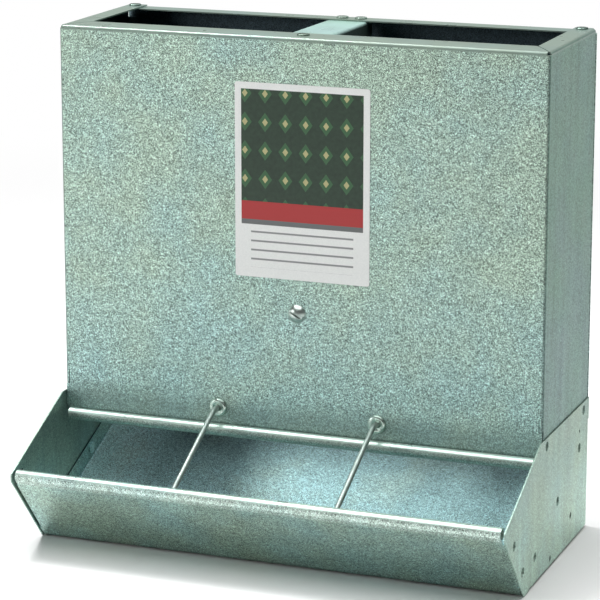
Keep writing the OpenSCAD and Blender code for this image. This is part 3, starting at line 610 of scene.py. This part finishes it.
def screw_head():
    """Domed head as heights over a disc: row v lies across the driver slot, and s runs along it.

    A row's points are at u = s sqrt(R^2 - v^2). The height is a ball's cap, eased down a little along the slot and
    cut to the slot's floor in it. The seat has the same points at a height of 0.
    """
    rows, columns, ease = 18, 45, 0.12
    ball = (HEAD_R ** 2 + HEAD_H ** 2) / (2 * HEAD_H)
    half = DRIVER_W / 2
    outside = -HEAD_R * np.cos(np.linspace(0, np.pi / 2, rows))
    outside = outside[outside < -half - ease]
    v = np.concatenate([outside, [-half - ease, -half, -half, half, half, half + ease], -outside[::-1]])
    slotted = np.zeros(len(v), bool)
    slotted[len(outside) + 2:len(outside) + 4] = True
    eased = np.zeros(len(v))
    eased[len(outside) + 1:len(outside) + 5] = ease
    s = np.linspace(-1, 1, columns)
    u = s[None, :] * np.sqrt(np.maximum(HEAD_R ** 2 - v ** 2, 0))[:, None]
    cap = HEAD_H - ball + np.sqrt(np.maximum(ball ** 2 - u ** 2 - v[:, None] ** 2, 0))
    cap = np.maximum(cap * (1 - eased[:, None] / HEAD_H), 0)
    height = np.where(slotted[:, None], np.minimum(cap, HEAD_H - DRIVER_DEPTH), cap)
    turn = math.radians(DRIVER_TURN)
    x = u * math.cos(turn) + v[:, None] * math.sin(turn)
    z = -u * math.sin(turn) + v[:, None] * math.cos(turn)
    seat = FRONT_Y - LAP
    dome = np.stack([x, seat - height, SCREW_Z + z], 2)
    under = np.stack([x, np.full_like(x, seat), SCREW_Z + z], 2)
    return [grid(dome), grid(under)]


def screw_thread():
    """Threaded shank: radius = R - depth (1 - w), w a rounded ridge of (y / pitch - turn), dying out at the ends."""
    pitch, depth, steps, rings = 1.0, 0.55, 48, 270
    crest, flank, run_in, tip, tip_taper = 1.25, 2.9, 2, 0.82, 4
    in_head = 0.3
    start, stop = FRONT_Y - in_head, SCREW_END_Y
    y = np.linspace(start, stop, rings)
    t = np.linspace(0, 1, steps, endpoint=False)
    phase = (y[:, None] / pitch - t[None, :]) % 1
    ridge = np.clip(crest - np.abs(phase - 0.5) * flank, 0, 1)
    fade = np.clip((y - start) / run_in, 0, 1)[:, None]
    radius = SCREW_R - depth * (1 - ridge) * fade
    radius *= np.clip(tip + (stop - y) / tip_taper, 0, 1)[:, None]
    radius[[0, -1]] = 0
    y[[0, -1]] = y[[1, -2]]
    turn = 2 * np.pi * t
    points = np.stack([radius * np.cos(turn), np.repeat(y[:, None], steps, 1), SCREW_Z + radius * np.sin(turn)], 2)
    return [grid(points, wrap_columns=True)]


def washer():
    """Flat ring with eased edges: a section with four rounded corners, turned about the screw."""
    clearance, ease = 0.2, 0.25
    section = rounded_section(SCREW_R + clearance, WASHER_R, WASHER_Y, WASHER_Y + WASHER_T, ease)
    return [turned(section, 0, SCREW_Z)]


def wing(side):
    """Wing of the nut: a flattened round section carried from the hub out to a round end.

    Half-width grows from the hub by a power of the way out, and closes as a circle at the tip. Half-thickness falls
    to the wing's own, and closes with the tip. The section is a circle with its cosine and sine raised to a power.
    """
    root, root_width, root_thick = np.array([3.6, NUT_H / 2]), 2.1, 1.25
    flare, squareness, tip_power = 1.6, 0.6, 4
    s = np.concatenate([np.linspace(0, 1, 22, endpoint=False), 1 + np.sin(np.linspace(0, np.pi / 2, 12))])
    reach = np.linalg.norm(WING_TIP - root)
    out = (WING_TIP - root) / reach
    middle = root + np.outer(np.where(s < 1, s * reach, reach + (s - 1) * WING_R), out)
    grow = np.clip(s, 0, 1)
    width = root_width + (WING_R - root_width) * grow ** flare
    width = np.where(s > 1, WING_R * np.sqrt(np.maximum(1 - (s - 1) ** 2, 0)), width)
    thick = np.where(s > 1, np.sqrt(np.maximum(1 - (s - 1) ** tip_power, 0)), root_thick - (root_thick - 1) * grow)
    thick *= WING_T / 2
    t = np.linspace(0, 2 * np.pi, 32, endpoint=False)
    round_w = np.sign(np.cos(t)) * np.abs(np.cos(t)) ** squareness
    round_t = np.sign(np.sin(t)) * np.abs(np.sin(t)) ** squareness
    across = np.array([-out[1], out[0]])
    plane = middle[:, None, :] + (width[:, None] * round_w)[:, :, None] * across
    points = np.stack([side * plane[..., 0], NUT_Y + plane[..., 1], SCREW_Z + thick[:, None] * round_t], 2)
    points[0] = points[0].mean(0)
    return grid(points, wrap_columns=True)


def wing_nut():
    """Tapered hub with eased edges, turned from a closed profile about the screw, and its two wings."""
    ease, clearance = 0.6, 0.08
    bore, foot, top = SCREW_R + clearance, NUT_Y, NUT_Y + NUT_H
    hub = np.concatenate([arc((NUT_R - ease, foot + ease), ease, -90, 0, 6),
                          arc((NUT_R - NUT_TAPER - ease, top - ease), ease, 0, 90, 6),
                          arc((bore + ease, top - ease), ease, 90, 180, 6),
                          arc((bore + ease, foot + ease), ease, 180, 270, 6)])
    return [turned(hub, 0, SCREW_Z), wing(1), wing(-1)]


def dress(name, grids, material, body, *replaced):
    """A piece of plated hardware that stands for CAD nodes."""
    piece = make_piece(name, grids, material, body)
    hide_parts(*replaced)


for word, side in (("left", -1), ("right", 1)):
    dress(f"{word}_wire_rod", divider_rod(side), ROD_ZINC, "feeder", f"{word}_divider_rod")
    dress(f"{word}_domed_nut", push_nut(side, FRONT_Y - LAP, -1), PUSH_NUT_ZINC, "feeder", f"{word}_rod_push_nut")
    dress(f"{word}_inner_nut", push_nut(side, TAIL_NUT_Y, 1), PUSH_NUT_ZINC, "feeder", f"{word}_rod_tail_nut")
dress("slotted_screw", screw_head() + screw_thread(), NUT_ZINC, "feeder", "gate_screw")
dress("flat_washer", washer(), NUT_ZINC, "feeder", "gate_washer")
dress("winged_nut", wing_nut(), NUT_ZINC, "nut", "wing_nut")


# Stage, light and camera

def make_floor():
    """Plain pale floor that keeps the object's shadow, and runs out to plain white away from it.

    The white is seen by the camera, in reflections and through glass, and sheds no light of its own.
    """
    tones = (0.87, 0.87, 0.87, 1), (0.90, 0.90, 0.90, 1)
    cloud_size, white_reach = 400, (450, 1400)
    half_width, drop = 6.0, 0.0004
    f = Finish("pale_floor")
    tone = f.mix(f.math("ADD", f.noise(cloud_size), 0.5), *tones)
    f.finish(Base_Color=tone, Roughness=0.9, Specular_IOR_Level=0.1)
    path = f.add("ShaderNodeLightPath")
    seen = f.math("MAXIMUM", path.outputs["Is Camera Ray"], path.outputs["Is Glossy Ray"])
    seen = f.math("MAXIMUM", seen, path.outputs["Is Transmission Ray"])
    away = f.add("ShaderNodeVectorMath", n0=f.place((1, 1, 0)))
    away.operation = "LENGTH"
    white = f.add("ShaderNodeEmission")
    blend = f.add("ShaderNodeMixShader", n0=f.math("MULTIPLY", seen, f.step(away.outputs["Value"], *white_reach)),
                  n1=f.shader.outputs[0], n2=white.outputs[0])
    f.set(f.tree.nodes["Material Output"], "Surface", blend.outputs[0])
    x, y = np.meshgrid([-half_width, half_width], [-half_width, half_width], indexing="ij")
    points, quads = grid(np.stack([x, y, np.full_like(x, -drop)], 2))
    mesh = bpy.data.meshes.new("floor")
    mesh.from_pydata(points.tolist(), [], quads.tolist())
    mesh.materials.append(f.material)
    floor = bpy.data.objects.new("floor", mesh)
    bpy.context.scene.collection.objects.link(floor)


def soft_box(name, place, target, size, watts):
    """Soft light of a width and a length in metres, aimed at a point."""
    light = bpy.data.lights.new(name, "AREA")
    light.shape = "RECTANGLE"
    light.size, light.size_y = size
    light.energy = watts
    lamp = bpy.data.objects.new(name, light)
    lamp.location = place
    lamp.rotation_euler = (Vector(target) - Vector(place)).to_track_quat("-Z", "Y").to_euler()
    bpy.context.scene.collection.objects.link(lamp)


def make_world(front, back):
    """Plain studio surround, dim in front and pale behind the object."""
    world = bpy.data.worlds.new("studio")
    world.use_nodes = True
    tree = world.node_tree
    direction = tree.nodes.new("ShaderNodeSeparateXYZ")
    tree.links.new(tree.nodes.new("ShaderNodeTexCoord").outputs["Generated"], direction.inputs[0])
    level = tree.nodes.new("ShaderNodeMapRange")
    level.interpolation_type = "SMOOTHSTEP"
    for key, value in {"From Min": 0.0, "From Max": 0.7, "To Min": front, "To Max": back}.items():
        level.inputs[key].default_value = value
    tree.links.new(direction.outputs["Y"], level.inputs["Value"])
    background = tree.nodes["Background"]
    background.inputs["Color"].default_value = (1, 1, 1, 1)
    tree.links.new(level.outputs[0], background.inputs["Strength"])
    bpy.context.scene.world = world


def make_camera():
    """Camera worked out from the photo's corner points, for a square image."""
    azimuth, elevation = math.radians(20.967), math.radians(12.887)
    focal_px, image_px, shift_px, sensor = 2711.8, 600, 50, 36
    aim, distance = Vector((40.5, -112.6, 208.6)) * MM, 1489.2 * MM
    back = Vector((math.sin(azimuth) * math.cos(elevation), -math.cos(azimuth) * math.cos(elevation),
                   math.sin(elevation)))
    lens = bpy.data.cameras.new("camera")
    lens.sensor_width = sensor
    lens.lens = focal_px * sensor / image_px
    lens.shift_y = -shift_px / image_px
    lens.clip_start, lens.clip_end = 0.05, 50
    camera = bpy.data.objects.new("camera", lens)
    camera.location = aim + back * distance
    camera.rotation_euler = (-back).to_track_quat("-Z", "Y").to_euler()
    bpy.context.scene.collection.objects.link(camera)
    bpy.context.scene.camera = camera


# Middle of the object, at which most lamps are aimed, in metres
MIDDLE = (0, 0, 0.15)
make_floor()
soft_box("key", place=(-0.78, -0.03, 1.86), target=MIDDLE, size=(0.30, 0.30), watts=9)
soft_box("mouth_light", place=(-0.72, 0.17, 1.86), target=MIDDLE, size=(0.20, 0.20), watts=11)
soft_box("overhead", place=(0.1, -0.1, 1.7), target=(0.1, -0.1, 0), size=(1.8, 2.2), watts=38)
soft_box("left_fill", place=(-1.7, -1.4, 0.7), target=MIDDLE, size=(1.0, 1.0), watts=15)
make_world(front=0.02, back=0.33)
make_camera()
bpy.context.scene.view_settings.view_transform = "Standard"
